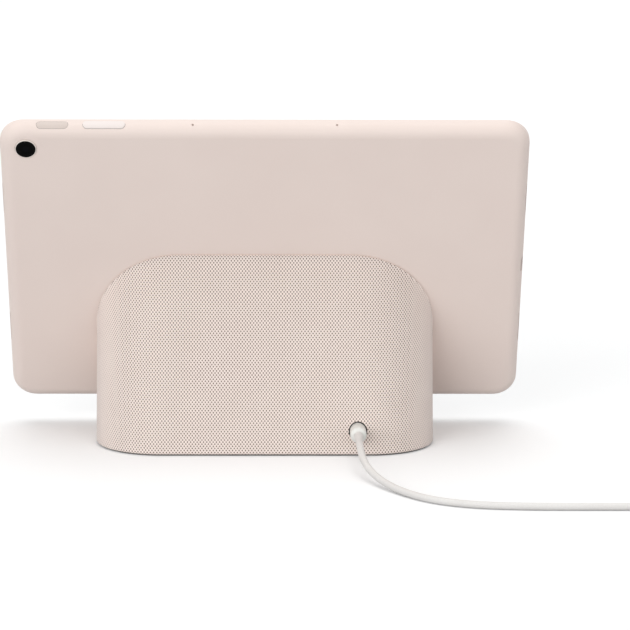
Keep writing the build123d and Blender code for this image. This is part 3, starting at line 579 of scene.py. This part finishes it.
def roundedLoop(halfAcross, halfUp, corner, steps):
    loop = []
    for number, (x, z) in enumerate(((1, 1), (-1, 1), (-1, -1), (1, -1))):
        for step in range(steps + 1):
            angle = math.radians(90 * number + 90 * step / steps)
            loop.append((x * (halfAcross - corner) + corner * math.cos(angle),
                         z * (halfUp - corner) + corner * math.sin(angle)))
    return loop


def addAdapter(look):
    # Rounded case in two mouldings, with a fine joint line round it and a sunk face round the prongs.
    low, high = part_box("adapter_body")
    middle, half = (low + high) / 2, (high - low) / 2
    deep = (high.y - low.y) / mm
    ending = []
    for step in range(look["endSteps"] + 1):
        angle = math.radians(step * 90 / look["endSteps"])
        ending.append((look["endRound"] * (1 - math.sin(angle)), look["endRound"] * (1 - math.cos(angle))))
    seam, wide, sunk, bevel = look["seamFrom"], look["seamWidth"], look["seamDepth"], look["seamBevel"]
    rows = [(look["faceSunk"], look["faceRim"] + look["faceSlope"]), (look["faceEdge"], look["faceRim"])]
    rows += sorted(ending)
    rows += [(seam - wide, 0), (seam - wide / 2, bevel), (seam - wide / 4, sunk), (seam + wide / 4, sunk),
             (seam + wide / 2, bevel), (seam + wide, 0)]
    rows += [(deep - along, inset) for along, inset in ending]
    points = []
    for along, inset in rows:
        corner = max(look["corner"] - inset, look["leastCorner"])
        loop = roundedLoop(half.x / mm - inset, half.z / mm - inset, corner, look["cornerSteps"])
        y = low.y + along * mm
        points += [Vector((middle.x + x * mm, y, middle.z + z * mm)) for x, z in loop]
    around = len(loop)
    faces = ringFaces(len(rows), around, closed=False, flipped=True)
    faces.append(tuple(range(around)))
    faces.append(tuple(reversed(range((len(rows) - 1) * around, len(rows) * around))))
    case = meshPiece("adapterCase", points, faces, materials["adapter_plastic"],
                     "power_lead", sharpAngle=30)
    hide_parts("adapter_body")
    return case


casePiece = addAdapter(adapter)


coilTie = {
    "angle": 205.0, "width": 9.0, "thickness": 0.45, "cordRadius": 1.75, "arcSteps": 8,
    "edgeWidth": 0.25, "edgeLift": 0.6,
}


def addCoilTie(look, coil):
    # Soft strap drawn tight round all the turns at one place of the coil.
    turns = coil["turns"]
    corners = [turns[-1], (turns[0][0], turns[6][1]), turns[0], turns[2]]     # cords at the bundle's corners
    normals = []
    for number, corner in enumerate(corners):
        after = Vector(corners[(number + 1) % 4]) - Vector(corner)
        normals.append(math.atan2(after.x, -after.y))
    path = []
    reach = look["cordRadius"] + look["thickness"] / 2
    for number, corner in enumerate(corners):
        start, end = normals[number - 1], normals[number]
        while end > start:
            end -= 2 * math.pi
        if start - end > math.pi:
            end += 2 * math.pi
        for step in range(look["arcSteps"] + 1):
            angle = start + (end - start) * step / look["arcSteps"]
            path.append((corner[0] + reach * math.cos(angle), corner[1] + reach * math.sin(angle)))
    turned = math.radians(look["angle"])
    outward = Vector((math.cos(turned), math.sin(turned), 0))
    along = Vector((-math.sin(turned), math.cos(turned), 0))
    centre = Vector((*coil["coilCentre"], 0))
    points = []
    halfWide, halfThick = look["width"] / 2, look["thickness"] / 2
    edge, flat = look["edgeLift"], halfWide - look["edgeWidth"]
    section = [(-halfWide, -edge), (-halfWide, edge), (-flat, 1), (flat, 1),
               (halfWide, edge), (halfWide, -edge), (flat, -1), (-flat, -1)]
    count = len(path)
    for number, (radius, height) in enumerate(path):
        before, after = Vector(path[number - 1]), Vector(path[(number + 1) % count])
        tangent = (after - before).normalized()
        normal = Vector((-tangent.y, tangent.x))
        for side, lift in section:
            reachOut = radius + normal.x * lift * halfThick
            z = max(height + normal.y * lift * halfThick, 0)
            points.append((centre + outward * reachOut + along * side + Vector((0, 0, z))) * mm)
    faces = ringFaces(count, len(section))
    return meshPiece("coilTie", points, faces, materials["black_plastic"],
                     "power_lead", sharpAngle=50)


tiePiece = addCoilTie(coilTie, lead)
print("cord is laid, with its plug, adapter and tie")


# Painted shadow: a dark strip sunk in the gap round each key

keyGapShadow = {"gap": 0.13, "offKey": 0.005, "sunk": 0.07, "deep": 0.9, "arcSteps": 12, "sideSteps": 14}


def addKeyGapShadow(name, node, look):
    # A dark strip in the gap round the key, standing in for the shadow there as painted shadow.
    # The tablet's own directions: across is X, up runs along its back, and out goes through it to the screen.
    lean = math.radians(dock["lean"])
    up, out = Vector((0, math.sin(lean), math.cos(lean))), Vector((0, -math.cos(lean), math.sin(lean)))
    faceStart = Vector((0, -dock["depth"] / 2, dock["chin"]))
    backMiddle = faceStart + up * tablet["middleUp"] + out * tablet["seatGap"]
    low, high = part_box(node)
    x, halfLong = (low.x + high.x) / 2 / mm, (high.x - low.x) / 2 / mm
    halfDeep = tablet["keyDepth"] / 2
    outline = []
    for side in (1, -1):
        start = Vector((side * (halfLong - halfDeep), 0))
        for step in range(look["arcSteps"] + 1):
            angle = math.radians(-90 + 180 * step / look["arcSteps"])
            outline.append((start, Vector((side * math.cos(angle), side * math.sin(angle)))))
        for step in range(1, look["sideSteps"]):
            across = side * (halfLong - halfDeep) * (1 - 2 * step / look["sideSteps"])
            outline.append((Vector((across, 0)), Vector((0, side))))
    inner, outer = halfDeep + look["offKey"], halfDeep + look["gap"]
    rows = ((inner, look["sunk"]), (outer, look["sunk"]), (outer, look["deep"]), (inner, look["deep"]))
    points = []
    for reach, depth in rows:
        for start, direction in outline:
            place = start + direction * reach
            z = place.y + tablet["keyMiddle"]
            bend = max(tablet["backEdge"] - z, 0)
            edge = tablet["height"] / 2 - tablet["backEdge"] + math.sqrt(tablet["backEdge"] ** 2 - bend ** 2)
            points.append((backMiddle + Vector((x + place.x, 0, 0)) + up * (edge - depth) + out * z) * mm)
    faces = ringFaces(len(rows), len(outline))
    return meshPiece(name, points, faces, materials["black_plastic"],
                     "tablet", sharpAngle=40)


for name, node in (("powerKeyGap", "power_button"), ("volumeKeyGap", "volume_rocker")):
    addKeyGapShadow(name, node, keyGapShadow)
print("keys are set in their gaps")


# Dock cover: the knit, drawn from the foot up to the leaning face and turned in over its edge


def roundedOutline(half, low, high, lowCorner, highCorner, look):
    # From the middle of the lower side right round, with the same steps on each side and corner.
    corners = [(half - lowCorner, low + lowCorner, lowCorner),
               (half - highCorner, high - highCorner, highCorner),
               (highCorner - half, high - highCorner, highCorner),
               (lowCorner - half, low + lowCorner, lowCorner)]
    points = [Vector((0, low))]
    for number, (x, y, radius) in enumerate(corners):
        start = number * 90 - 90
        last = points[-1]
        first = Vector((x + radius * math.cos(math.radians(start)),
                        y + radius * math.sin(math.radians(start))))
        points += [last.lerp(first, step / look["sideSteps"]) for step in range(1, look["sideSteps"] + 1)]
        for step in range(1, look["arcSteps"] + 1):
            angle = math.radians(start + 90 * step / look["arcSteps"])
            points.append(Vector((x + radius * math.cos(angle), y + radius * math.sin(angle))))
    last = points[-1]
    points += [last.lerp(points[0], step / look["sideSteps"]) for step in range(1, look["sideSteps"])]
    return points


def coverSections(look):
    lean = math.radians(look["lean"])
    faceLength = (look["height"] - look["chin"]) / math.cos(lean)
    apexY = -look["depth"] / 2 + (look["height"] - look["chin"]) * math.tan(lean)
    rearLean = math.atan2(look["depth"] / 2 - apexY, look["height"] - look["footLift"])
    upFace = Vector((0, math.sin(lean), math.cos(lean)))
    outOfFace = Vector((0, -math.cos(lean), math.sin(lean)))
    faceStart = Vector((0, -look["depth"] / 2, look["chin"]))

    def footLoop(inset):
        outline = roundedOutline(look["width"] / 2 - inset, -look["depth"] / 2 + inset,
                                 look["depth"] / 2 - inset / math.cos(rearLean),
                                 look["footCorner"] - inset, look["footCorner"] - inset, look)
        return [Vector((point.x, point.y, look["footLift"])) for point in outline]

    def faceLoop(inset):
        outline = roundedOutline(look["width"] / 2 - inset, inset / math.sin(lean),
                                 faceLength - inset / math.sin(lean + rearLean),
                                 look["faceLowCorner"] - inset, look["faceTopCorner"] - inset, look)
        return [faceStart + Vector((point.x, 0, 0)) + upFace * point.y for point in outline]

    foot, face = footLoop(0), faceLoop(0)
    footInside, faceInside, window = footLoop(look["skin"]), faceLoop(look["skin"]), faceLoop(look["fold"])
    up = Vector((0, 0, 1))
    sections = []
    for number in range(len(foot)):
        down = (foot[number] - face[number]).normalized()
        inFace = (window[number] - face[number]).normalized()
        inFoot = (footInside[number] - foot[number]).normalized()
        opening = down.angle(inFace)
        setback = look["rim"] / math.tan(opening / 2)
        middle = face[number] + (down + inFace).normalized() * look["rim"] / math.sin(opening / 2)
        rimStart, rimEnd = face[number] + down * setback, face[number] + inFace * setback
        hem, lip, soft = look["hem"], look["lip"], look["lipRound"]
        section = [footInside[number]]
        section += [foot[number] + inFoot * hem * inward + up * hem * upward
                    for inward, upward in look["hemCurve"]]
        hemTop = foot[number] - down * hem * look["hemTop"]
        section += [hemTop.lerp(rimStart, row / look["rows"]) for row in range(look["rows"] + 1)]
        section += [middle + (rimStart - middle).slerp(rimEnd - middle, step / look["rimSteps"])
                    for step in range(1, look["rimSteps"] + 1)]
        edge = window[number]
        section += [edge - inFace * lip, edge - inFace * lip * soft - outOfFace * lip * soft,
                    edge - outOfFace * lip, edge - outOfFace * look["skin"]]
        inner = footInside[number] - faceInside[number]
        innerTop = faceInside[number] - inner * (look["skin"] / inner.dot(outOfFace))
        section += [innerTop.lerp(footInside[number], row / look["innerRows"])
                    for row in range(look["innerRows"])]
        sections.append(section)
    return sections, foot, face, rearLean


def knitAcross(foot, face, number, height):
    # Distance round the dock at one height, from the middle of its back, negative towards -X.
    middle = len(foot) // 2

    def at(ring):
        bottom, top = foot[ring % len(foot)], face[ring % len(foot)]
        return bottom.lerp(top, (height - bottom.z) / (top.z - bottom.z))

    step = 1 if number > middle else -1
    length = sum((at(ring + step) - at(ring)).length for ring in range(middle, number, step))
    return -step * length


def addCover(look):
    sections, foot, face, rearLean = coverSections(look)
    rings, across = len(sections), len(sections[0])
    points = [point * mm for section in sections for point in section]
    faces = ringFaces(rings, across, flipped=True)
    cover = meshPiece("dockCover", points, faces, materials["knit_fabric"],
                      "dock", sharpAngle=50)

    # The map of the knit, in millimetres: rows lie level, columns run straight up the back
    hemTop = 1 + len(look["hemCurve"])
    sideRows = range(hemTop, hemTop + 1 + look["rows"])
    places = {}
    for ring in range(rings + 1):
        section = sections[ring % rings]
        for row in range(across):
            if row in sideRows:
                height = section[row].z
                u = knitAcross(foot, face, ring, min(height, face[ring % rings].z))
                v = (height - look["footLift"]) / math.cos(rearLean)
            elif row > sideRows[-1]:
                v += (section[row] - section[row - 1]).length
            else:
                u = knitAcross(foot, face, ring, look["footLift"])
                v = -(section[row] - section[hemTop]).length
            places[ring, row] = (u, v)
    layer = cover.data.uv_layers.new(name="knitMap")
    for face in cover.data.polygons:
        ring, row = divmod(face.index, across)
        corners = [(ring, row), (ring + 1, row), (ring + 1, row + 1), (ring, row + 1)]
        for loop, (cornerRing, cornerRow) in zip(face.loop_indices, corners):
            layer.data[loop].uv = places[cornerRing, cornerRow % across]
    return cover, rearLean


def cutInlet(cover, look):
    # Round hole for the plug, cut straight through the back of the cover.
    x, z = look["inlet"]
    radius = look["inletHole"] / 2
    profile = [(along * mm, radius * mm) for along in look["inletCut"]]
    points, faces = latheMesh(profile, Vector((x, 0, z)) * mm, Vector((0, 1, 0)), Vector((1, 0, 0)),
                              look["inletSteps"])
    mesh = bpy.data.meshes.new("inletCutter")
    mesh.from_pydata(points, [], faces)
    cutter = toCollection(bpy.data.objects.new("inletCutter", mesh))
    hole = cover.modifiers.new("inletHole", "BOOLEAN")
    hole.operation, hole.solver, hole.object = "DIFFERENCE", "EXACT", cutter
    bpy.context.view_layer.update()
    made = bpy.data.meshes.new_from_object(cover.evaluated_get(bpy.context.evaluated_depsgraph_get()))
    cover.modifiers.clear()
    cover.data = made
    made.name = "dockCover"
    bpy.data.objects.remove(cutter)
    made.shade_smooth()
    made.set_sharp_from_angle(angle=math.radians(50))


dockCover, dockLean = addCover(dock)
cutInlet(dockCover, dock)
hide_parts("dock_fabric")


# Painted shade: a dark collar in the hole round the plug
inletShadeRing = {
    "outer": 4.64, "inner": 4.22, "sunk": 0.2, "deep": 3.2, "crown": 0.08,
    "bevelWidth": 0.05, "bevelDepth": 0.15, "steps": 56,
}


def addInletShadeRing(look, place, lean):
    # Dark collar that lines the hole for the plug, its face following the slope of the back. Its dark is
    # painted shade for the gap round the plug.
    x, z = place
    surface = dock["depth"] / 2 - (z - dock["footLift"]) * math.tan(lean)
    outer, inner, sunk = look["outer"], look["inner"], look["sunk"]
    profile = [(outer, sunk), ((outer + inner) / 2, sunk - look["crown"]), (inner + look["bevelWidth"], sunk),
               (inner, sunk + look["bevelDepth"]), (inner, look["deep"]), (outer, look["deep"])]
    points = []
    for radius, depth in profile:
        for step in range(look["steps"]):
            angle = 2 * math.pi * step / look["steps"]
            rise = radius * math.sin(angle)
            y = surface - rise * math.tan(lean) - depth
            points.append(Vector((x + radius * math.cos(angle), y, z + rise)) * mm)
    faces = ringFaces(len(profile), look["steps"], flipped=True)
    return meshPiece("inletShadeRing", points, faces, materials["black_plastic"],
                     "dock", sharpAngle=30)


addInletShadeRing(inletShadeRing, dock["inlet"], dockLean)
print("dock cover is knitted:", len(dockCover.data.polygons), "faces")


# Every part of the frame gets its finish

slotOf = {part["node"]: part["material_slot"] for part in frame["record"]["subparts"]}
for name, part in parts.items():
    if slotOf.get(name) in materials:
        for place in part.material_slots:
            place.material = materials[slotOf[name]]
parts["microphones"].material_slots[0].material = materials["sound_mesh"]
print("frame parts are finished")
